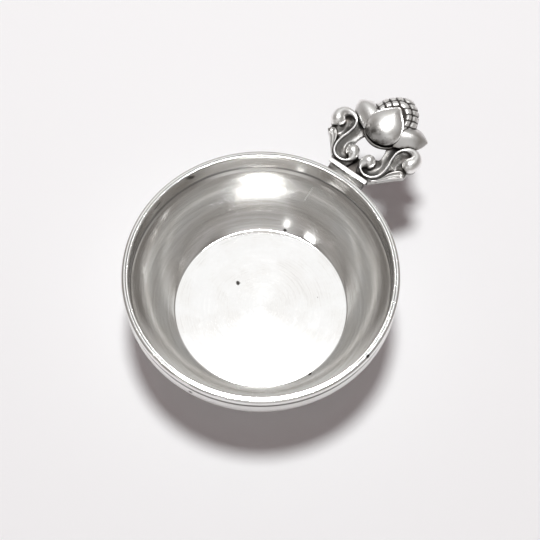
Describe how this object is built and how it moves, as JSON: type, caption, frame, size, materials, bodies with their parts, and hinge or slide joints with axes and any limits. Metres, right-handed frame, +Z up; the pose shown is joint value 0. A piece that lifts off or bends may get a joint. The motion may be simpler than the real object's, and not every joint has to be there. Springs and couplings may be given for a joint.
{
  "type": "salt cellar",
  "caption": "Small open silver salt cellar: a round flat-bottomed bowl with an applied rim wire and a pierced scroll-and-bud lug handle.",
  "frame": {"origin": "centre of the bowl's flat base, on the surface that it stands on", "axes": "+Z up through the bowl's mouth, +X from the bowl's centre out along the handle"},
  "size_m": [0.0714, 0.05, 0.0199],
  "materials": {
    "polished_silver": "polished silver, softly worn, with fine turning lines and light scratches",
    "oxidised_silver": "silver darkened by oxidation in the hollows, rubbed bright on the high places"
  },
  "bodies": {
    "root": {"bowl": "polished_silver", "rim_wire": "polished_silver", "bracket_shoe": "polished_silver", "bracket_cap": "polished_silver", "root_web": "oxidised_silver", "left_scroll_plate": "oxidised_silver", "right_scroll_plate": "oxidised_silver", "left_scroll_wire": "polished_silver", "right_scroll_wire": "polished_silver", "left_scroll_leaf": "polished_silver", "right_scroll_leaf": "polished_silver", "left_side_sepal": "polished_silver", "right_side_sepal": "polished_silver", "bud_core": "oxidised_silver", "top_sepal": "polished_silver", "under_sepal": "polished_silver", "seed_head": "polished_silver"}
  },
  "joints": []
}
